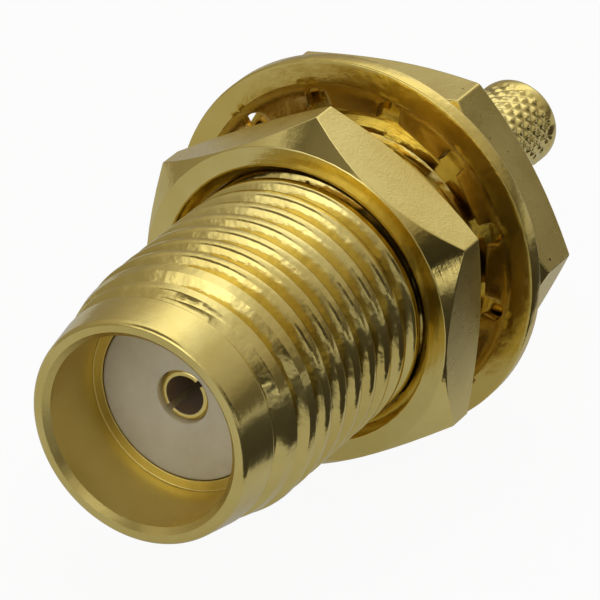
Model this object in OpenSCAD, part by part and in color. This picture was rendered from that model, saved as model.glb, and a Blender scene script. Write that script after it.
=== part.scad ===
// Bulkhead jack for a small coaxial cable, with a hex flange, a lock washer and a hex nut.
// The axis runs along Y: the mouth faces -Y and the crimp stem faces +Y.
// The origin is the centre of the mating plane, at the bottom of the mouth.

/* [Mouth] */
// Bore that takes the sleeve of the mating plug
mouth_d = 4.66; // [4.5:0.01:4.75]
// Depth of the mouth, from the rim to the mating plane
mouth_depth = 2; // [1.5:0.05:2.6]
// Chamfer at the inner edge of the rim
mouth_chamfer = 0.17; // [0.05:0.01:0.18]
// Outside diameter of the rim
rim_d = 5.46; // [5.36:0.01:5.6]
// Radius of the outer edge of the rim
rim_round = 0.08; // [0.02:0.01:0.1]

/* [Barrel] */
// Length from the rim to the flange
barrel_len = 10.8; // [9.5:0.1:16]
// Length of the smooth nose in front of the thread
nose_len = 1.05; // [0.6:0.05:1.4]
// Diameter of the nose at its back edge
nose_d = 5.78; // [5.66:0.01:5.9]
// Diameter at the front of the taper that leads into the thread
lead_d = 5.6; // [5.5:0.01:5.65]
// Distance from the rim to the end of that taper
lead_len = 2.5; // [2:0.05:3.2]
// Diameter over the crests of the thread
thread_d = 6.35; // [6.25:0.01:6.6]
// Pitch of the thread
thread_pitch = 0.7056; // [0.5:0.0001:0.8]
// Distance from the rim to the middle of the first groove
groove_start = 1.95; // [1.7:0.01:2.4]
// Plain length left between the thread and the flange
thread_end = 0.4; // [0.3:0.05:1.5]

/* [Flange] */
// Width of the flange across its flats
flange_af = 7.94; // [7.5:0.01:9]
// Thickness of the flange
flange_t = 1.85; // [1.2:0.05:3]
// Angle of the bevels on the corners of the flange
flange_bevel = 30; // [15:1:40]
// Distance from the flats to the bevelled face of the flange
flange_inset = 0.05; // [0.02:0.01:0.3]

/* [Crimp stem] */
// Diameter of the stem that the cable braid is crimped on
stem_d = 2.24; // [2.1:0.01:3]
// Length of the stem behind the flange
stem_len = 6; // [4:0.1:9]
// Radius of the rounded end of the stem
stem_round = 0.18; // [0.05:0.01:0.2]
// Bore for the dielectric of the cable
cable_d = 1.65; // [1.2:0.01:1.8]

/* [Hex nut] */
// Width of the nut across its flats
nut_af = 7.94; // [7.6:0.01:9.4]
// Thickness of the nut
nut_t = 1.7; // [1.4:0.05:2.4]
// Angle of the bevels on the front corners of the nut
nut_front_bevel = 46; // [20:1:48]
// Angle of the bevels on the back corners of the nut
nut_back_bevel = 30; // [15:1:40]
// Distance from the flats to the bevelled face of the nut
nut_inset = 0.02; // [0.02:0.01:0.3]
// Diameter of the countersink at each end of the nut's bore
nut_sink_d = 6.96; // [6.8:0.01:7.3]
// Distance from the flange to the nut, as the nut stands on the thread
nut_gap = 1.92; // [1.1:0.01:4.5]
// Angle by which the nut is turned from the flange
nut_turn = 25; // [0:1:59]

/* [Lock washer] */
// Outside diameter of the washer
washer_d = 9.5; // [9:0.05:11]
// Inside diameter of the washer's ring
washer_ring_d = 8.3; // [7.9:0.05:8.5]
// Thickness of the washer's sheet
washer_t = 0.4; // [0.2:0.05:0.5]
// Number of teeth inside the ring
tooth_count = 12; // [8:1:14]
// Width of a tooth at the ring
tooth_root_w = 1.35; // [1:0.05:1.5]
// Width of a tooth at its tip
tooth_tip_w = 1; // [0.6:0.05:1.1]
// Angle by which each tooth is twisted
tooth_twist = 14; // [5:1:20]
// Distance of the loose washer from the barrel's axis
washer_off = 0.17; // [0:0.01:0.3]
// Angle towards which the washer lies off the axis, from +X towards +Z
washer_off_turn = 123; // [0:1:359]

/* [Insulator] */
// Diameter of the insulator
insulator_d = 4.12; // [3.8:0.01:4.3]
// Thickness of the shoulder that the insulator seats on
shoulder_t = 2.2; // [0.8:0.05:2.6]

/* [Centre contact] */
// Diameter of the contact
contact_d = 1.27; // [1.2:0.01:1.35]
// Distance from the mating plane back to the tip of the contact
contact_recess = 0.1; // [0:0.01:0.25]
// Chamfer at the tip of the contact
contact_chamfer = 0.07; // [0.02:0.01:0.1]
// Diameter of the socket for the mating pin
socket_d = 0.94; // [0.88:0.01:0.98]
// Depth of the socket
socket_depth = 3; // [2:0.1:4]
// Width of the slots in the socket
slot_w = 0.14; // [0.08:0.01:0.2]
// Length of the slots in the socket
slot_len = 2.2; // [1.2:0.1:2.8]
// Angle of the slots, from +X towards +Z
slot_turn = 43; // [0:1:179]
// Diameter of the collar that holds the contact in the insulator
collar_d = 2; // [1.9:0.01:2.4]
// Length of the collar
collar_len = 0.8; // [0.4:0.05:1.5]
// Distance from the back of the insulator to the contact
tail_gap = 0.8; // [0:0.05:1.4]
// Diameter of the hole for the wire of the cable
wire_d = 0.56; // [0.3:0.01:0.8]
// Depth of the hole for the wire
wire_depth = 2; // [1:0.1:2.6]

/* [Fits] */
// Radial clearance of the insulator and the contact in their bores
inner_clearance = 0.02; // [0.01:0.005:0.03]
// Radial clearance between the crests and the nut's bore
thread_clearance = 0.05; // [0.02:0.01:0.1]
// Least radial clearance between the crests and the tips of the washer's teeth
tooth_clearance = 0.05; // [0.03:0.01:0.2]
// Gap between the washer's teeth and the flange
washer_clearance = 0.02; // [0.01:0.01:0.2]

/* [Hidden] */
$fn = 96;

gold = [0.80, 0.70, 0.38];
gold_dark = [0.70, 0.58, 0.30];
ptfe = [0.92, 0.90, 0.84];

// Places along the axis, from the mating plane.
rim_y = -mouth_depth;
flange_y = rim_y + barrel_len;
stem_y = flange_y + flange_t;
end_y = stem_y + stem_len;
shoulder_y = stem_y - shoulder_t;
nut_y = flange_y - nut_gap - nut_t;
contact_end_y = shoulder_y - tail_gap;
collar_y = contact_end_y - collar_len;

// Thread form: 60 degree flanks, with the depth and the crest as shares of the pitch.
flank = tan(30);
thread_depth = 0.51 * thread_pitch;
crest_w = 0.24 * thread_pitch;
root_w = thread_pitch - crest_w - 2 * thread_depth * flank;
thread_r = thread_d / 2;
root_r = thread_r - thread_depth;
groove_count = floor((barrel_len - groove_start - thread_end) / thread_pitch) + 1;

// The twisted teeth stand out in front of and behind the ring.
tooth_rise = tooth_root_w / 2 * sin(tooth_twist) + washer_t / 2 * cos(tooth_twist);
washer_y = flange_y - washer_clearance - tooth_rise;
tooth_tip_r = thread_r + washer_off + tooth_clearance;
tooth_bed = 0.12;

// Cuts run past a face by over, and the joined shapes of one piece reach into each other by lap.
over = 1;
lap = 0.5;

// Turns a shape made along Z, with its front at the bottom, onto the part's axis.
module on_axis(y = 0) {
    rotate([-90, 0, 0])
        translate([0, 0, y])
            children();
}

// Outline of the barrel before the thread is cut: nose, tapered lead and crests.
module barrel_blank() {
    round_r = rim_d / 2 - rim_round;
    polygon([
        [0, 0],
        for (a = [0:15:90]) [round_r + rim_round * sin(a), rim_round * (1 - cos(a))],
        [nose_d / 2, nose_len],
        [lead_d / 2, nose_len + (nose_d - lead_d) / 2],
        [thread_r, lead_len],
        [thread_r, barrel_len + lap],
        [0, barrel_len + lap]
    ]);
}

// One groove of the thread, centred on 0 along the axis.
module thread_groove() {
    reach = thread_depth + over;
    half = root_w / 2;
    polygon([
        [root_r, -half],
        [root_r + reach, -half - reach * flank],
        [root_r + reach, half + reach * flank],
        [root_r, half]
    ]);
}

module barrel() {
    rotate_extrude()
        difference() {
            barrel_blank();
            for (i = [0:groove_count - 1])
                translate([0, groove_start + i * thread_pitch])
                    thread_groove();
        }
}

// Hexagonal blank with its corners bevelled at both ends.
module hex_blank(af, t, inset, front_bevel, back_bevel) {
    face_r = af / 2 - inset;
    corner_r = af / 2 / cos(30);
    wide_r = corner_r + inset;
    intersection() {
        cylinder(r = corner_r, h = t, $fn = 6);
        rotate_extrude()
            polygon([
                [0, 0],
                [face_r, 0],
                [wide_r, (wide_r - face_r) * tan(front_bevel)],
                [wide_r, t - (wide_r - face_r) * tan(back_bevel)],
                [face_r, t],
                [0, t]
            ]);
    }
}

// Cylinder with a rounded edge at its far end.
module rounded_rod(r, h, edge) {
    rotate_extrude()
        polygon([
            [0, 0],
            [r, 0],
            for (a = [0:15:90]) [r - edge + edge * cos(a), h - edge + edge * sin(a)],
            [0, h]
        ]);
}

// Everything that is hollow in the body, from the mouth to the end of the stem.
module body_cavity() {
    mouth_r = mouth_d / 2;
    insulator_r = insulator_d / 2 + inner_clearance;
    rotate_extrude()
        polygon([
            [0, rim_y - over],
            [mouth_r + mouth_chamfer + over, rim_y - over],
            [mouth_r, rim_y + mouth_chamfer],
            [mouth_r, 0],
            [insulator_r, 0],
            [insulator_r, shoulder_y],
            [cable_d / 2, shoulder_y],
            [cable_d / 2, end_y + over],
            [0, end_y + over]
        ]);
}

module connector_body() {
    stem_edge = min(stem_round, 0.8 * (stem_d - cable_d) / 2);
    color(gold)
        on_axis()
            difference() {
                union() {
                    translate([0, 0, rim_y])
                        barrel();
                    translate([0, 0, flange_y])
                        hex_blank(flange_af, flange_t, flange_inset, flange_bevel, flange_bevel);
                    translate([0, 0, stem_y - lap])
                        rounded_rod(stem_d / 2, stem_len + lap, stem_edge);
                }
                body_cavity();
            }
}

module insulator() {
    bore_r = contact_d / 2 + inner_clearance;
    collar_r = collar_d / 2 + inner_clearance;
    color(ptfe)
        on_axis()
            difference() {
                cylinder(d = insulator_d, h = shoulder_y);
                translate([0, 0, -over])
                    cylinder(r = bore_r, h = shoulder_y + 2 * over);
                translate([0, 0, collar_y])
                    cylinder(r = collar_r, h = shoulder_y - collar_y + over);
            }
}

module centre_contact() {
    contact_r = contact_d / 2;
    color(gold_dark)
        on_axis()
            difference() {
                rotate_extrude()
                    polygon([
                        [0, contact_recess],
                        [contact_r - contact_chamfer, contact_recess],
                        [contact_r, contact_recess + contact_chamfer],
                        [contact_r, collar_y],
                        [collar_d / 2, collar_y],
                        [collar_d / 2, contact_end_y],
                        [0, contact_end_y]
                    ]);
                translate([0, 0, contact_recess - over])
                    cylinder(d = socket_d, h = socket_depth + over);
                translate([0, 0, contact_end_y - wire_depth])
                    cylinder(d = wire_d, h = wire_depth + over);
                rotate([0, 0, -slot_turn])
                    translate([-contact_d, -slot_w / 2, contact_recess - over])
                        cube([2 * contact_d, slot_w, slot_len + over]);
            }
}

// One tooth, pointing along +X from the ring towards the axis and twisted about its own line.
module washer_tooth() {
    bed_r = washer_ring_d / 2 + tooth_bed;
    rotate([tooth_twist, 0, 0])
        linear_extrude(washer_t, center = true)
            polygon([
                [tooth_tip_r, -tooth_tip_w / 2],
                [bed_r, -tooth_root_w / 2],
                [bed_r, tooth_root_w / 2],
                [tooth_tip_r, tooth_tip_w / 2]
            ]);
}

module lock_washer() {
    color(gold_dark)
        on_axis(washer_y)
            translate([washer_off * cos(washer_off_turn), -washer_off * sin(washer_off_turn), 0])
                union() {
                    difference() {
                        cylinder(d = washer_d, h = washer_t, center = true);
                        cylinder(d = washer_ring_d, h = washer_t + 2 * over, center = true);
                    }
                    for (i = [0:tooth_count - 1])
                        rotate([0, 0, i * 360 / tooth_count])
                            washer_tooth();
                }
}

module hex_nut() {
    bore_r = thread_r + thread_clearance;
    sink_r = nut_sink_d / 2;
    sink_depth = sink_r - bore_r;
    color(gold)
        on_axis(nut_y)
            rotate([0, 0, -nut_turn])
                difference() {
                    hex_blank(nut_af, nut_t, nut_inset, nut_front_bevel, nut_back_bevel);
                    rotate_extrude()
                        polygon([
                            [0, -over],
                            [sink_r + over, -over],
                            [bore_r, sink_depth],
                            [bore_r, nut_t - sink_depth],
                            [sink_r + over, nut_t + over],
                            [0, nut_t + over]
                        ]);
                }
}

connector_body();
insulator();
centre_contact();
lock_washer();
hex_nut();
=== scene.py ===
import math

import bmesh
import bpy
from mathutils import Matrix, Vector


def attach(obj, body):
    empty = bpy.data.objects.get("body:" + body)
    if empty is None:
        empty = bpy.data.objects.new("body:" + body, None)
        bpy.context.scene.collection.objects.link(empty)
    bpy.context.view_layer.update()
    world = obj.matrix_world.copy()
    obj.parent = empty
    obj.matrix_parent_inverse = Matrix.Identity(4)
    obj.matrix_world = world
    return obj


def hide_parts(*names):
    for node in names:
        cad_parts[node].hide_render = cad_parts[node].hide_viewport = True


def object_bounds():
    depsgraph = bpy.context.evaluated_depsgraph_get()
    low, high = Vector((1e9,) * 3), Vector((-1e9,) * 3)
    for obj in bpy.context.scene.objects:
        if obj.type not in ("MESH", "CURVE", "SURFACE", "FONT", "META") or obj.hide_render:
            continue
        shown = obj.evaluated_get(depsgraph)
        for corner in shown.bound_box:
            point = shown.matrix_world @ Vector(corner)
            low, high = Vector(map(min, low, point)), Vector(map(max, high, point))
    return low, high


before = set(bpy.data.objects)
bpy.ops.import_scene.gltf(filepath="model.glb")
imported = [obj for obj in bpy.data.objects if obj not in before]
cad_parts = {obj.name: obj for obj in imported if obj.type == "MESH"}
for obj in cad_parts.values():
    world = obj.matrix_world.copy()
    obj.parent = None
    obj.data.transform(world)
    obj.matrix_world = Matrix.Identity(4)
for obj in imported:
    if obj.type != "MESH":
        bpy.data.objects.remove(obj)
cadLow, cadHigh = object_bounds()
scene = bpy.context.scene
print("frame loaded:", ", ".join(sorted(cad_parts)))

mm = 0.001  # the shapes are drawn in millimetres and scaled when a piece is added
rimY = -2.0  # rim of the mouth, with the mating plane at 0
flangeY = 8.8  # front of the flange
stemY = 10.65  # back of the flange
endY = 16.65  # end of the stem
weldDist = 0.0005  # points closer than this become one
mostOfSide = 0.4  # largest share of a side that a soft corner takes
supportShare = 1.2  # place of the support point beside a soft corner, in its reach
bumpDepth = 0.00002  # metres


def drawProfile(points, closed=False, turn=0.0):
    # A line of (radius, y) points in the half plane at this angle from +X towards +Z.
    bm = bmesh.new()
    row = bm.verts.layers.int.new("row")
    verts = []
    for i, (r, y) in enumerate(points):
        v = bm.verts.new((r * math.cos(turn), y, r * math.sin(turn)))
        v[row] = i
        verts.append(v)
    for a, b in zip(verts, verts[1:]):
        bm.edges.new((a, b))
    if closed:
        bm.edges.new((verts[-1], verts[0]))
    return bm


def spinRound(bm, steps):
    bmesh.ops.spin(bm, geom=bm.verts[:] + bm.edges[:], cent=(0, 0, 0), axis=(0, 1, 0),
                   angle=math.tau, steps=steps, use_merge=True)
    return bm


def softCorners(points, sizes, parts=3, closed=False):
    # Rounds corner i of a line of points by about sizes[i], with a short curve in its place.
    # A support point on each side keeps the shading of the flat faces flat.
    out = []
    last = len(points) - 1
    for i, p in enumerate(points):
        size = sizes.get(i, 0)
        if not size or (not closed and i in (0, last)):
            out.append(p)
            continue
        here = Vector(p)
        before, after = Vector(points[i - 1]) - here, Vector(points[(i + 1) % len(points)]) - here
        reach1, reach2 = min(size, before.length * mostOfSide), min(size, after.length * mostOfSide)
        a, b = here + before.normalized() * reach1, here + after.normalized() * reach2
        out.append(tuple(here + before.normalized() * reach1 * supportShare))
        for k in range(parts + 1):
            t = k / parts
            q = a * (1 - t) ** 2 + here * (2 * t * (1 - t)) + b * t ** 2
            out.append((q.x, q.y))
        out.append(tuple(here + after.normalized() * reach2 * supportShare))
    return out


def polar(v):
    return math.hypot(v.co.x, v.co.z), math.atan2(v.co.z, v.co.x)


def place(v, r, turn, y=None):
    v.co = (r * math.cos(turn), v.co.y if y is None else y, r * math.sin(turn))


def faceOutward(bm):
    # An open shell is turned so that its faces look away from the axis.
    bmesh.ops.recalc_face_normals(bm, faces=bm.faces[:])
    lean = sum(f.normal.dot(Vector((f.calc_center_median().x, 0, f.calc_center_median().z)))
               * f.calc_area() for f in bm.faces)
    if lean < 0:
        bmesh.ops.reverse_faces(bm, faces=bm.faces[:])


def addPiece(bm, name, body, node, finish, openShell=False, sharp=35, second=None,
             secondWhere=None):
    bmesh.ops.remove_doubles(bm, verts=bm.verts[:], dist=weldDist)
    if openShell:
        faceOutward(bm)
    else:
        bmesh.ops.recalc_face_normals(bm, faces=bm.faces[:])
    bmesh.ops.scale(bm, vec=(mm, mm, mm), verts=bm.verts[:])
    mesh = bpy.data.meshes.new(name)
    bm.to_mesh(mesh)
    bm.free()
    mesh.shade_smooth()
    mesh.set_sharp_from_angle(angle=math.radians(sharp))
    mesh.materials.append(finish)
    if second:
        mesh.materials.append(second)
        for f in mesh.polygons:
            f.material_index = 1 if secondWhere(f.center.xz.length / mm, f.center.y / mm, f.normal) else 0
    piece = bpy.data.objects.new(name, mesh)
    scene.collection.objects.link(piece)
    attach(piece, body)
    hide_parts(node)
    print("piece", name, len(mesh.polygons), "faces")
    return piece


class Graph:
    # Short calls for adding nodes and joining them.
    def __init__(self, tree):
        self.tree = tree

    def node(self, kind, *inputs, **settings):
        made = self.tree.nodes.new(kind)
        for key, value in settings.items():
            setattr(made, key, value)
        for i, value in enumerate(inputs):
            if isinstance(value, bpy.types.NodeSocket):
                self.tree.links.new(value, made.inputs[i])
            elif value is not None:
                made.inputs[i].default_value = value
        return made

    def math(self, how, *values):
        return self.node("ShaderNodeMath", *values, operation=how).outputs[0]

    def ramp(self, value, *stops):
        made = self.node("ShaderNodeValToRGB", value)
        ramp = made.color_ramp
        while len(ramp.elements) < len(stops):
            ramp.elements.new(0.5)
        for element, (at, colour) in zip(ramp.elements, stops):
            element.position = at
            element.color = (*colour, 1) if len(colour) == 3 else colour
        return made.outputs[0]

    def blend(self, share, first, second):
        made = self.node("ShaderNodeMix", data_type="RGBA")
        self.join(share, made.inputs[0])
        self.join(first, made.inputs[6])
        made.inputs[7].default_value = (*second, 1)
        return made.outputs[2]

    def remap(self, value, a, b, c, d, how="LINEAR"):
        made = self.node("ShaderNodeMapRange", value, a, b, c, d, interpolation_type=how)
        return made.outputs[0]

    def noise(self, where, scale, detail=3.0, rough=0.5):
        made = self.node("ShaderNodeTexNoise", where)
        made.inputs["Scale"].default_value = scale
        made.inputs["Detail"].default_value = detail
        made.inputs["Roughness"].default_value = rough
        return made.outputs[0]

    def join(self, a, b):
        self.tree.links.new(a, b)


def addBump(g, shader, height, strength):
    bump = g.node("ShaderNodeBump")
    bump.inputs["Strength"].default_value = strength
    bump.inputs["Distance"].default_value = bumpDepth
    g.join(height, bump.inputs["Height"])
    g.join(bump.outputs[0], shader.inputs["Normal"])


def newFinish(name):
    finish = bpy.data.materials.new(name)
    finish.use_nodes = True
    graph = Graph(finish.node_tree)
    shader = finish.node_tree.nodes["Principled BSDF"]
    return finish, graph, shader


gold = {
    "pale": (0.82, 0.68, 0.25),
    "deep": (0.74, 0.585, 0.185),
    "pit": (0.16, 0.10, 0.04),
    "dull": (0.42, 0.31, 0.22),
    # painted shade and painted reflection for the washer's recess behind the nut
    "recessShadeBrown": (0.52, 0.34, 0.11),
    "roughness": 0.16,
    # texture scales, in cells per metre
    "cloudScale": 420, "markScale": 14000, "grainScale": 16000,
    "pitScale": 2600, "chanceScale": 2300, "dentScale": 2200,
    # pits: the chance at which they begin and reach full size, what "pits" shifts it by, size, depth
    "pitFrom": 0.66, "pitFull": 0.82, "pitShift": 0.14, "pitSize": 0.15, "pitDepth": 1.5,
    # how much of the painted shade brown the washer's recess takes
    "recessShadeShare": 0.75, "bump": 0.35,
}


def goldFinish(name, pits=0.3, turned=0.3, grain=0.25, roughness=None, tint=(1, 1, 1), dents=0.0,
               innerR=0.0, recessShadeR=0.0, centre=(0, 0)):
    # Thin gold plate on turned brass: cloudy colour, fine turning marks, small dark pits.
    finish, g, shader = newFinish(name)
    where = g.node("ShaderNodeTexCoord").outputs["Object"]
    part = g.node("ShaderNodeSeparateXYZ", where)
    x, y, z = part.outputs[0], part.outputs[1], part.outputs[2]
    radius = g.math("SQRT", g.math("ADD", g.math("MULTIPLY", x, x), g.math("MULTIPLY", z, z)))
    rings = g.node("ShaderNodeCombineXYZ", radius, y, 0.0).outputs[0]
    cloud = g.noise(where, gold["cloudScale"], 4, 0.6)
    marks = g.noise(rings, gold["markScale"], 2, 0.6)
    fine = g.noise(where, gold["grainScale"], 3, 0.6)
    spots = g.node("ShaderNodeTexVoronoi", where)
    spots.inputs["Scale"].default_value = gold["pitScale"]
    spots.inputs["Randomness"].default_value = 1
    chance = g.noise(where, gold["chanceScale"], 1, 0.5)
    shift = gold["pitShift"] * pits
    edge = g.remap(chance, gold["pitFrom"] - shift, gold["pitFull"] - shift, 0.0, gold["pitSize"])
    hole = g.math("LESS_THAN", spots.outputs["Distance"], edge)
    pale = [c * t for c, t in zip(gold["pale"], tint)]
    deep = [c * t for c, t in zip(gold["deep"], tint)]
    colour = g.ramp(cloud, (0.36, deep), (0.62, pale))
    colour = g.blend(hole, colour, gold["pit"])
    shader.inputs["Metallic"].default_value = 1
    if recessShadeR:  # painted shade and painted reflection: browner colour inside this radius, where the washer lies in the nut's shade and mirrors its back
        dx, dz = g.math("SUBTRACT", x, centre[0] * mm), g.math("SUBTRACT", z, centre[1] * mm)
        off = g.math("SQRT", g.math("ADD", g.math("MULTIPLY", dx, dx), g.math("MULTIPLY", dz, dz)))
        near = g.remap(off, (recessShadeR - 0.1) * mm, (recessShadeR + 0.05) * mm, gold["recessShadeShare"], 0.0)
        colour = g.blend(near, colour, gold["recessShadeBrown"])
    if innerR:  # the hole of the contact is dull and brown
        inside = g.math("LESS_THAN", radius, innerR * mm)
        colour = g.blend(inside, colour, gold["dull"])
        g.join(g.math("SUBTRACT", 1.0, g.math("MULTIPLY", inside, 0.75)), shader.inputs["Metallic"])
    g.join(colour, shader.inputs["Base Color"])
    base = gold["roughness"] if roughness is None else roughness
    g.join(g.remap(cloud, 0.3, 0.7, base * 0.8, base * 1.3), shader.inputs["Roughness"])
    height = g.math("ADD", g.math("MULTIPLY", marks, turned), g.math("MULTIPLY", fine, grain))
    height = g.math("SUBTRACT", height, g.math("MULTIPLY", hole, gold["pitDepth"]))
    if dents:
        wave = g.noise(where, gold["dentScale"], 2, 0.5)
        height = g.math("ADD", height, g.math("MULTIPLY", wave, dents))
    addBump(g, shader, height, gold["bump"])
    return finish


ptfeLook = {
    "pale": (0.80, 0.74, 0.58),
    "deep": (0.71, 0.64, 0.48),
    "roughness": 0.42,
    "cloudScale": 900, "grainScale": 5000,
    "scatter": 0.6, "scatterColour": (1.0, 0.92, 0.8), "scatterDepth": 0.0007,
    "bump": 0.25,
}


def ptfeFinish():
    finish, g, shader = newFinish("ptfe")
    where = g.node("ShaderNodeTexCoord").outputs["Object"]
    cloud = g.noise(where, ptfeLook["cloudScale"], 3, 0.6)
    g.join(g.ramp(cloud, (0.35, ptfeLook["deep"]), (0.65, ptfeLook["pale"])),
           shader.inputs["Base Color"])
    shader.inputs["Roughness"].default_value = ptfeLook["roughness"]
    shader.inputs["Subsurface Weight"].default_value = ptfeLook["scatter"]
    shader.inputs["Subsurface Radius"].default_value = ptfeLook["scatterColour"]
    shader.inputs["Subsurface Scale"].default_value = ptfeLook["scatterDepth"]
    addBump(g, shader, g.noise(where, ptfeLook["grainScale"], 3, 0.6), ptfeLook["bump"])
    return finish


bodyGold = goldFinish("bodyGold", pits=0.25, turned=0.5, dents=1.2)
mouthGold = goldFinish("mouthGold", pits=0.45, turned=0.3, grain=0.6, dents=1.5, roughness=0.34)
threadGold = goldFinish("threadGold", pits=0.6, turned=0.15, dents=3.5)
turnedGold = goldFinish("turnedGold", pits=0.3, turned=0.35, dents=1.0, roughness=0.12)
flatGold = goldFinish("flatGold", pits=0.9, turned=0.0, grain=1.1, dents=0.8, roughness=0.26)
# the browner colour inside radius 4.1 is painted shade and painted reflection in the washer's recess
washerGold = goldFinish("washerGold", pits=0.1, turned=0.0, grain=0.5, dents=3.0, roughness=0.2,
                        tint=(0.98, 0.94, 0.8), recessShadeR=4.1, centre=(-0.093, 0.143))
contactGold = goldFinish("contactGold", pits=0.0, turned=0.4, tint=(1.12, 1.12, 1.12), innerR=0.478)
ptfeWhite = ptfeFinish()
print("finishes ready")


bodySizes = {
    "mouthR": 2.33, "chamfer": 0.14, "rimR": 2.73, "rimRound": 0.08,
    "noseR": 2.89, "noseLen": 1.05, "noseStep": 0.09, "coreR": 2.69, "coreSink": 0.3,
    "insulatorR": 2.08, "shoulderY": 8.45, "cableR": 0.825, "flareR": 0.05, "flareLen": 0.06,
    "stemR": 1.12, "stemRound": 0.18, "stemLap": 0.05, "rootInset": 0.1,
    "knurlDeep": 0.07, "knurlRound": 18, "knurlEnd": 0.35, "knurlFade": 0.1, "knurlPower": 1.6,
    "mouthLookR": 2.49, "mouthLookEnd": 3, "columns": 144, "stemRows": 110,
}


def knurlDip(turn, y, s):
    # Two crossed sets of grooves leave small diamonds between them.
    pitch = math.tau * s["stemR"] / s["knurlRound"]
    across = turn * s["knurlRound"] / math.tau
    along = (y - stemY) / pitch
    first = abs((across + along) % 1 - 0.5) * 2
    second = abs((across - along) % 1 - 0.5) * 2
    return s["knurlDeep"] * max(first, second) ** s["knurlPower"]


def buildBody(s):
    round1 = s["rimRound"]
    outer = softCorners([
        (s["mouthR"] + s["chamfer"], rimY), (s["rimR"] - round1, rimY), (s["rimR"], rimY + round1),
        (s["noseR"], rimY + s["noseLen"]), (s["coreR"], rimY + s["noseLen"] + s["noseStep"]),
        (s["coreR"], stemY - s["coreSink"]), (s["stemR"] - s["rootInset"], stemY - s["coreSink"]),
    ], {0: 0.03, 1: 0.05, 2: 0.05, 3: 0.05})
    edge, lap = s["stemRound"], s["stemLap"]
    knurled = [(s["stemR"], stemY - lap + (endY - edge - stemY + lap) * i / s["stemRows"])
               for i in range(s["stemRows"] + 1)]
    tip = [(s["stemR"] - edge + edge * math.cos(a), endY - edge + edge * math.sin(a))
           for a in (math.radians(d) for d in (22, 45, 68, 90))]
    inner = softCorners([
        (s["cableR"] + s["flareR"], endY), (s["cableR"], endY - s["flareLen"]), (s["cableR"], s["shoulderY"]),
        (s["insulatorR"], s["shoulderY"]), (s["insulatorR"], 0.0), (s["mouthR"], 0.0),
        (s["mouthR"], rimY + s["chamfer"]),
    ], {5: 0.03, 4: 0.02})
    bm = spinRound(drawProfile(outer + knurled + tip + inner, closed=True), s["columns"])
    row = bm.verts.layers.int.get("row")
    first, last = len(outer), len(outer) + len(knurled)
    soft = s["knurlFade"]
    for v in bm.verts:
        if first < v[row] < last:
            r, turn = polar(v)
            fade = min(1, (endY - s["knurlEnd"] - v.co.y) / soft, (v.co.y - stemY - soft) / soft)
            place(v, s["stemR"] - max(0, fade) * knurlDip(turn, v.co.y, s), turn)
    return bm


def inMouth(r, y, normal):
    return r < bodySizes["mouthLookR"] and y < bodySizes["mouthLookEnd"]


addPiece(buildBody(bodySizes), "connectorBody", "root", "connector_body", bodyGold,
         second=mouthGold, secondWhere=inMouth)


threadSizes = {
    "crestR": 3.175, "rootR": 2.74, "pitch": 0.7056, "crestWide": 0.22, "rootWide": 0.05,
    "undercutR": 2.7, "undercutEnd": 1.33, "undercutSlope": 1.4, "leadR": 2.86, "startTurns": 3,
    "grooveAt": 1.95, "grooveTurn": 48.6, "taperEnd": 2.5, "plainEnd": 0.4, "plainSlope": 1.7,
    "lap": 0.05, "columns": 96,
}


def buildThread(s):
    half = s["pitch"] / 2
    flat, root = s["crestWide"] / 2, s["rootWide"] / 2
    shape = softCorners([
        (s["rootR"], 0), (s["rootR"], root), (s["crestR"], half - flat),
        (s["crestR"], half + flat), (s["rootR"], 2 * half - root), (s["rootR"], 2 * half),
    ], {1: 0.02, 2: 0.07, 3: 0.07, 4: 0.02}, parts=2)
    turn0 = math.radians(s["grooveTurn"])
    startY = rimY + s["grooveAt"] - s["startTurns"] * s["pitch"]
    bm = drawProfile([(r, startY + y) for r, y in shape], turn=turn0)
    # A right-hand thread: it moves back along +Y as it turns from +Z towards +X.
    bmesh.ops.spin(bm, geom=bm.verts[:] + bm.edges[:], cent=(0, 0, 0), axis=(0, 1, 0),
                   dvec=(0, s["pitch"] / s["columns"], 0), angle=math.tau, steps=s["columns"],
                   use_merge=False)
    for turns in (1, 2, 4, 8):  # each copy doubles the thread, up to 16 turns
        more = bmesh.ops.duplicate(bm, geom=bm.verts[:] + bm.edges[:] + bm.faces[:])["geom"]
        bmesh.ops.translate(bm, vec=(0, turns * s["pitch"], 0),
                            verts=[v for v in more if isinstance(v, bmesh.types.BMVert)])
    bmesh.ops.remove_doubles(bm, verts=bm.verts[:], dist=weldDist)
    front, back = rimY + bodySizes["noseLen"] + bodySizes["noseStep"], flangeY + s["lap"]
    for at, way in ((front, -1), (back, 1)):
        bmesh.ops.bisect_plane(bm, geom=bm.verts[:] + bm.edges[:] + bm.faces[:], dist=0.0001,
                               plane_co=(0, at, 0), plane_no=(0, way, 0), clear_outer=True)
    slope = (s["crestR"] - s["leadR"]) / (rimY + s["taperEnd"] - front)
    for v in bm.verts:
        r, turn = polar(v)
        away = max(0, v.co.y - rimY - s["undercutEnd"])
        r = min(r, s["leadR"] + (v.co.y - front) * slope, s["undercutR"] + away * s["undercutSlope"])
        r = max(r, s["crestR"] - max(0, flangeY - s["plainEnd"] - v.co.y) * s["plainSlope"])
        place(v, r, turn)
    return bm


addPiece(buildThread(threadSizes), "barrelThread", "root", "connector_body",
         threadGold, openShell=True)


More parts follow.
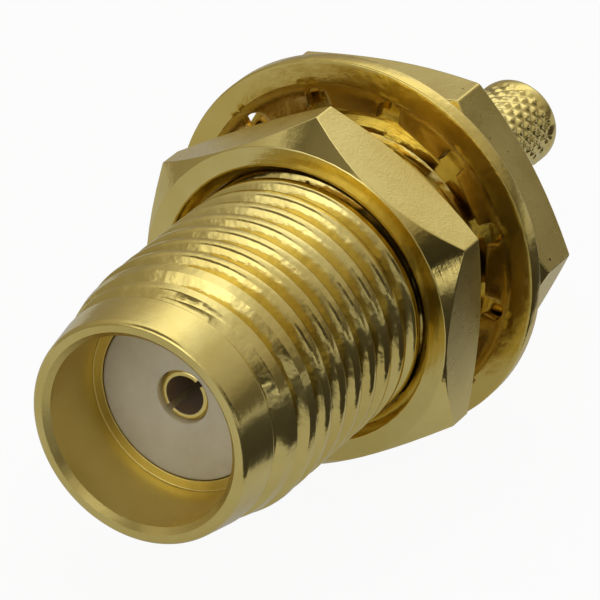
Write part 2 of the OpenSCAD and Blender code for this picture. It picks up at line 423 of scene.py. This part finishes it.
flangeSizes = {
    "af": 7.94, "front": flangeY, "back": stemY, "inset": 0.05, "frontBevel": 30, "backBevel": 30,
    "frontHole": 2.6, "backHole": 0.95, "sink": 0, "turn": 90, "cornerRound": 0.06, "edge": 0.035,
    "holeEdge": 0.03,
}
nutSizes = {
    "af": 7.94, "front": 5.18, "back": 6.88, "inset": 0.02, "frontBevel": 46, "backBevel": 30,
    "frontHole": 3.225, "backHole": 3.225, "sink": 0.255, "turn": 55, "cornerRound": 0.05,
    "edge": 0.025, "holeEdge": 0.03,
}
hexColumns = {"flat": 12, "corner": 4, "evenShare": 0.985}
hexLook = {"flatR": 3.9, "lean": 0.1}  # what counts as one of the six flats


def hexTurns(s, parts):
    # Angles round the hexagon from a flat's middle, closer together at the corners.
    apothem, bend = s["af"] / 2, s["cornerRound"]
    flatEnd = math.atan((apothem - bend) * math.tan(math.radians(30)) / apothem)
    side = [-flatEnd]
    for i in range(parts["flat"] - 1):
        side.append(flatEnd * parts["evenShare"] * (-1 + 2 * i / (parts["flat"] - 2)))
    for i in range(parts["corner"]):
        side.append(flatEnd + (math.radians(60) - 2 * flatEnd) * i / parts["corner"])
    return [a + math.radians(60) * k for k in range(6) for a in side]


def hexRadius(turn, s):
    apothem, bend = s["af"] / 2, s["cornerRound"]
    off = (turn + math.radians(30)) % math.radians(60) - math.radians(30)
    flatEnd = math.atan((apothem - bend) * math.tan(math.radians(30)) / apothem)
    if abs(off) <= flatEnd:
        return apothem / math.cos(off)
    away = math.radians(30) - abs(off)
    centre = (apothem - bend) / math.cos(math.radians(30))
    return centre * math.cos(away) + math.sqrt(max(0, bend ** 2 - (centre * math.sin(away)) ** 2))


def hexSection(turn, s):
    wide = hexRadius(turn, s)
    face = s["af"] / 2 - s["inset"]
    drop1 = (wide - face) * math.tan(math.radians(s["frontBevel"]))
    drop2 = (wide - face) * math.tan(math.radians(s["backBevel"]))
    sink = s["sink"]
    line = [
        (s["frontHole"], s["front"] + sink), (s["frontHole"] + sink, s["front"]),
        (face, s["front"]), (wide, s["front"] + drop1), (wide, s["back"] - drop2),
        (face, s["back"]), (s["backHole"] + sink, s["back"]), (s["backHole"], s["back"] - sink),
    ]
    soft, hole = s["edge"], s["holeEdge"]
    return softCorners(line, {1: hole, 2: soft, 3: soft, 4: soft, 5: soft, 6: hole}, closed=True)


def buildHex(s):
    turns = hexTurns(s, hexColumns)
    bm = spinRound(drawProfile(hexSection(0, s), closed=True), len(turns))
    row = bm.verts.layers.int.get("row")
    sections = [hexSection(t, s) for t in turns]
    base = math.radians(s["turn"])
    for v in bm.verts:
        column = round(polar(v)[1] / math.tau * len(turns)) % len(turns)
        r, y = sections[column][v[row]]
        place(v, r, turns[column] + base, y)
    return bm


def onFlat(r, y, normal):
    return abs(normal.y) < hexLook["lean"] and r > hexLook["flatR"]


addPiece(buildHex(flangeSizes), "hexFlange", "root", "connector_body", turnedGold,
         second=flatGold, secondWhere=onFlat)
addPiece(buildHex(nutSizes), "hexNut", "nut", "hex_nut", turnedGold,
         second=flatGold, secondWhere=onFlat)


washerSizes = {
    "outerR": 4.743, "ringR": 4.15, "slotR": 3.84, "tipR": 3.395, "thick": 0.4, "teeth": 12,
    "rootWide": 1.5, "tipWide": 1.3, "twist": 6, "dish": 0.06, "recess": 0.13, "slotBow": 0.1,
    "middle": 8.424, "off": 0.17, "offTurn": 123, "softEdge": 0.06, "sharpFrom": 50, "band": 0.1,
    "weld": 0.01,
}


def buildWasher(s):
    # One tooth and its share of the ring, copied round and then thickened.
    slotCols, toothCols, ringRows, toothRows = 4, 8, 8, 5
    cols, rows = 2 * slotCols + toothCols, ringRows + toothRows
    bm = bmesh.new()
    bmesh.ops.create_grid(bm, x_segments=cols, y_segments=rows, size=0.5)
    share = math.pi / s["teeth"]
    rootHalf = s["rootWide"] / 2 / s["slotR"]
    gone = []
    for v in bm.verts:
        i, j = round((v.co.x + 0.5) * cols), round((v.co.y + 0.5) * rows)
        if i < slotCols:
            turn = -share + (share - rootHalf) * i / slotCols
        elif i > slotCols + toothCols:
            turn = rootHalf + (share - rootHalf) * (i - slotCols - toothCols) / slotCols
        else:
            turn = -rootHalf + 2 * rootHalf * (i - slotCols) / toothCols
        if j >= toothRows:
            part = (j - toothRows) / ringRows
            near = max(0, abs(turn) - rootHalf) / (share - rootHalf)
            inner = s["slotR"] + s["slotBow"] * math.sin(math.pi / 2 * near)
            r = inner + (s["outerR"] - inner) * part
            fall = min(1, max(0, (s["ringR"] - r) / (s["ringR"] - s["slotR"])))
            v.co = (r * math.cos(turn), s["dish"] * fall * fall * (3 - 2 * fall), r * math.sin(turn))
            continue
        if i < slotCols or i > slotCols + toothCols:
            gone.append(v)
            continue
        part = 1 - j / toothRows
        half = (s["rootWide"] + (s["tipWide"] - s["rootWide"]) * part) / 2
        side = half * (2 * (i - slotCols) / toothCols - 1)
        bend = math.radians(s["twist"]) * part
        r = s["slotR"] + (s["tipR"] - s["slotR"]) * part
        v.co = (r * math.cos(turn * (1 - part)), s["dish"] + side * math.sin(bend),
                side * math.cos(bend))
    bmesh.ops.delete(bm, geom=gone, context="VERTS")
    bmesh.ops.spin(bm, geom=bm.verts[:] + bm.edges[:] + bm.faces[:], cent=(0, 0, 0),
                   axis=(0, 1, 0), angle=math.tau, steps=s["teeth"], use_duplicate=True)
    bmesh.ops.remove_doubles(bm, verts=bm.verts[:], dist=s["weld"])
    bmesh.ops.recalc_face_normals(bm, faces=bm.faces[:])
    bmesh.ops.solidify(bm, geom=bm.faces[:], thickness=s["thick"])
    rim = [v.co.y for v in bm.verts if polar(v)[0] > s["outerR"] - s["band"]]
    bmesh.ops.translate(bm, vec=(0, -(min(rim) + max(rim)) / 2, 0), verts=bm.verts[:])
    for v in bm.verts:
        r = polar(v)[0]
        if v.co.y < 0 and r < s["ringR"]:
            v.co.y += s["recess"] * min(1, (s["ringR"] - r) / s["band"])
    bm.normal_update()
    sharp = math.radians(s["sharpFrom"])
    edges = [e for e in bm.edges if len(e.link_faces) == 2 and e.calc_face_angle() > sharp]
    bmesh.ops.bevel(bm, geom=edges, offset=s["softEdge"], offset_type="OFFSET", segments=3,
                    profile=0.5, affect="EDGES", clamp_overlap=True, material=-1)
    away = math.radians(s["offTurn"])
    bmesh.ops.translate(bm, vec=(s["off"] * math.cos(away), s["middle"], s["off"] * math.sin(away)),
                        verts=bm.verts[:])
    return bm


addPiece(buildWasher(washerSizes), "lockWasher", "washer", "lock_washer", washerGold)


insulatorSizes = {
    "r": 2.06, "boreR": 0.655, "boreEdge": 0.03, "collarR": 1.02, "collarY": 6.85,
    "backY": bodySizes["shoulderY"], "edge": 0.05, "columns": 96,
}
contactSizes = {
    "r": 0.635, "socketR": 0.47, "tipY": 0.1, "chamfer": 0.07, "socketEnd": 3.1, "socketTip": 0.15,
    "slotWide": 0.14, "slotEnd": 2.3, "slotTurn": 43, "collarR": 1.0,
    "collarY": insulatorSizes["collarY"], "collarEdge": 0.04, "jawEdge": 0.03, "backY": 7.65,
    "wireR": 0.28, "wireY": 5.65, "wireTip": 0.1, "axisR": 0.001, "columns": 48,
}


def buildInsulator(s):
    line = softCorners([
        (s["boreR"], 0.0), (s["r"], 0.0), (s["r"], s["backY"]), (s["collarR"], s["backY"]),
        (s["collarR"], s["collarY"]), (s["boreR"], s["collarY"]),
    ], {0: s["boreEdge"], 1: s["edge"], 2: s["edge"]}, closed=True)
    return spinRound(drawProfile(line, closed=True), s["columns"])


def buildContact(s):
    back = softCorners([
        (s["socketR"], s["slotEnd"]), (s["r"], s["slotEnd"]), (s["r"], s["collarY"]),
        (s["collarR"], s["collarY"]), (s["collarR"], s["backY"]), (s["wireR"], s["backY"]),
        (s["wireR"], s["wireY"]), (s["axisR"], s["wireY"] - s["wireTip"]),
        (s["axisR"], s["socketEnd"] + s["socketTip"]),
        (s["socketR"], s["socketEnd"]),
    ], {3: s["collarEdge"], 4: s["collarEdge"]}, closed=True)
    bm = spinRound(drawProfile(back, closed=True), s["columns"])
    jaw = softCorners([
        (s["socketR"], s["slotEnd"]), (s["socketR"], s["tipY"]), (s["r"] - s["chamfer"], s["tipY"]),
        (s["r"], s["tipY"] + s["chamfer"]), (s["r"], s["slotEnd"]),
    ], {i: s["jawEdge"] for i in (1, 2, 3)}, closed=True)
    nearly = 0.001  # radians
    for side in (0, 180):
        start = math.radians(s["slotTurn"] + side + 90)
        half = drawProfile(jaw, closed=True, turn=start)
        bmesh.ops.contextual_create(half, geom=half.edges[:])
        reach = math.radians(90) - math.asin(s["slotWide"] / 2 / s["socketR"])
        other = half.copy()
        for piece, way in ((half, 1), (other, -1)):
            bmesh.ops.spin(piece, geom=piece.verts[:] + piece.edges[:] + piece.faces[:],
                           cent=(0, 0, 0), axis=(0, 1, 0), angle=way * reach,
                           steps=s["columns"] // 4, use_merge=False)
            # The two halves of a jaw meet at its middle, so their end faces there go.
            middle = (start + math.pi) % math.tau - math.pi
            inside = [f for f in piece.faces if len(f.verts) > 4
                      and abs(polar(f.verts[0])[1] - middle) < nearly]
            bmesh.ops.delete(piece, geom=inside, context="FACES_ONLY")
            part = bpy.data.meshes.new("jaw")
            piece.to_mesh(part)
            piece.free()
            bm.from_mesh(part)
            bpy.data.meshes.remove(part)
    return bm


addPiece(buildInsulator(insulatorSizes), "insulator.front", "root", "insulator", ptfeWhite)
addPiece(buildContact(contactSizes), "centreContact", "root", "centre_contact",
         contactGold, sharp=30)


def levelSheet(name, half, x, z):
    # A level square around or beside the part, which isn't one of its pieces.
    bm = bmesh.new()
    bmesh.ops.create_grid(bm, x_segments=1, y_segments=1, size=half)
    mesh = bpy.data.meshes.new(name)
    bm.to_mesh(mesh)
    bm.free()
    sheet = bpy.data.objects.new(name, mesh)
    sheet.location = (x, 0, z)
    scene.collection.objects.link(sheet)
    return sheet


# metres; what the camera and the gold see of the floor, and how much of it is matt
floorLook = {"half": 3, "gap": 0.00002, "matt": (0.8, 0.8, 0.79), "glossyLight": 0.44,
             "seenShare": 0.94, "glossyShare": 0.75}


def buildFloor(s):
    floor = levelSheet("floor", s["half"], 0, cadLow.z - s["gap"])
    finish = bpy.data.materials.new("floorWhite")
    finish.use_nodes = True
    g = Graph(finish.node_tree)
    finish.node_tree.nodes.clear()
    path = g.node("ShaderNodeLightPath")
    seen = path.outputs["Is Camera Ray"]
    glossy = path.outputs["Is Glossy Ray"]
    matt = g.node("ShaderNodeBsdfDiffuse", (*s["matt"], 1))
    bright = g.math("ADD", seen, g.math("MULTIPLY", glossy, s["glossyLight"]))
    white = g.node("ShaderNodeEmission", (1, 1, 1, 1), bright)
    share = g.math("ADD", g.math("MULTIPLY", seen, s["seenShare"]),
                   g.math("MULTIPLY", glossy, s["glossyShare"]))
    mixed = g.node("ShaderNodeMixShader", share, matt.outputs[0], white.outputs[0])
    end = g.node("ShaderNodeOutputMaterial")
    g.join(mixed.outputs[0], end.inputs[0])
    floor.data.materials.append(finish)


cardLook = {"half": 0.03, "x": 0.0365, "lift": 0.0002, "colour": (0.05, 0.045, 0.04), "roughness": 0.9}


def buildCard(s):
    # A dark card lying on the floor to the part's right, where only the gold sees it.
    card = levelSheet("darkCard", s["half"], s["x"], cadLow.z + s["lift"])
    card.visible_camera = card.visible_diffuse = card.visible_shadow = False
    finish, g, shader = newFinish("cardBlack")
    shader.inputs["Base Color"].default_value = (*s["colour"], 1)
    shader.inputs["Roughness"].default_value = s["roughness"]
    card.data.materials.append(finish)


lightLook = {
    # brightness of the tent round the part's axis: 0 is its right side, 0.5 the top, 1 its left side
    "tent": ((0.0, 0.09), (0.07, 0.12), (0.16, 0.36), (0.34, 0.6), (0.43, 0.95), (0.5, 1.4),
             (0.58, 1.25), (0.65, 0.8), (0.73, 0.5), (0.86, 0.33), (1.0, 0.3)),
    "tentScale": 2.0,  # the ramp holds the brightness divided by this
    "ends": 0.42, "endFrom": 0.93, "endFull": 0.995,  # straight in front of and behind the part
    "warm": (1.0, 0.9, 0.72), "warmTo": 0.25, "whiteFrom": 0.8,  # colour of the darker sides
    # azimuth, elevation, full radius, fading width, share taken away (or light added)
    "cards": ((-18, 60, 14, 12, 0.85), (57, 8, 12, 12, 0.8)),
    "lamps": ((-14, 24, 8, 14, 0.75), (61, 1.5, 2.5, 4, 5.0)),
}


def lightWorld(s):
    world = bpy.data.worlds.new("studio")
    scene.world = world
    world.use_nodes = True
    g = Graph(world.node_tree)
    world.node_tree.nodes.clear()
    way = g.node("ShaderNodeTexCoord").outputs["Generated"]
    part = g.node("ShaderNodeSeparateXYZ", way)
    turn = g.math("DIVIDE", g.math("ARCTAN2", part.outputs[2], part.outputs[0]), math.pi)
    tent = g.ramp(turn, *((at, (v / s["tentScale"],) * 3) for at, v in s["tent"]))
    light = g.math("MULTIPLY", tent, s["tentScale"])
    end = g.remap(g.math("ABSOLUTE", part.outputs[1]), s["endFrom"], s["endFull"], 0.0, 1.0,
                  "SMOOTHSTEP")
    light = g.math("ADD", g.math("MULTIPLY", light, g.math("SUBTRACT", 1.0, end)),
                   g.math("MULTIPLY", end, s["ends"]))

    def patch(azimuth, elevation, wide, soft, share):
        a, e = math.radians(azimuth), math.radians(elevation)
        aim = (math.sin(a) * math.cos(e), -math.cos(a) * math.cos(e), math.sin(e))
        close = g.node("ShaderNodeVectorMath", way, aim, operation="DOT_PRODUCT").outputs[1]
        return g.remap(close, math.cos(math.radians(wide + soft)), math.cos(math.radians(wide)),
                       0.0, share, "SMOOTHSTEP")

    for lamp in s["lamps"]:
        light = g.math("ADD", light, patch(*lamp))
    for card in s["cards"]:
        light = g.math("MULTIPLY", light, g.math("SUBTRACT", 1.0, patch(*card)))
    colour = g.ramp(light, (s["warmTo"], s["warm"]), (s["whiteFrom"], (1, 1, 1)))
    studio = g.node("ShaderNodeBackground", colour, light)
    white = g.node("ShaderNodeBackground", (1, 1, 1, 1), 1.0)
    seen = g.node("ShaderNodeLightPath").outputs["Is Camera Ray"]
    mixed = g.node("ShaderNodeMixShader", seen, studio.outputs[0], white.outputs[0])
    end = g.node("ShaderNodeOutputWorld")
    g.join(mixed.outputs[0], end.inputs[0])


cameraLook = {"azimuth": 29.726, "elevation": 25.968, "roll": -2.112, "distance": 129.41,
              "target": (0.0, 5.466, 0.0), "fieldOfView": 6.14, "sensor": 36, "clip": (0.01, 10)}


def setCamera(s):
    data = bpy.data.cameras.new("camera")
    camera = bpy.data.objects.new("camera", data)
    scene.collection.objects.link(camera)
    a, e = math.radians(s["azimuth"]), math.radians(s["elevation"])
    back = Vector((math.sin(a) * math.cos(e), -math.cos(a) * math.cos(e), math.sin(e)))
    camera.location = (Vector(s["target"]) + back * s["distance"]) * mm
    turn = (-back).to_track_quat("-Z", "Y").to_matrix().to_4x4()
    turn = Matrix.Rotation(math.radians(s["roll"]), 4, back) @ turn
    camera.rotation_mode = "QUATERNION"
    camera.rotation_quaternion = turn.to_quaternion()
    data.sensor_width = s["sensor"]
    data.lens = s["sensor"] / 2 / math.tan(math.radians(s["fieldOfView"] / 2))
    data.clip_start, data.clip_end = s["clip"]
    scene.camera = camera


buildFloor(floorLook)
buildCard(cardLook)
lightWorld(lightLook)
setCamera(cameraLook)
scene.view_settings.view_transform = "Standard"
print("floor, light and camera ready")
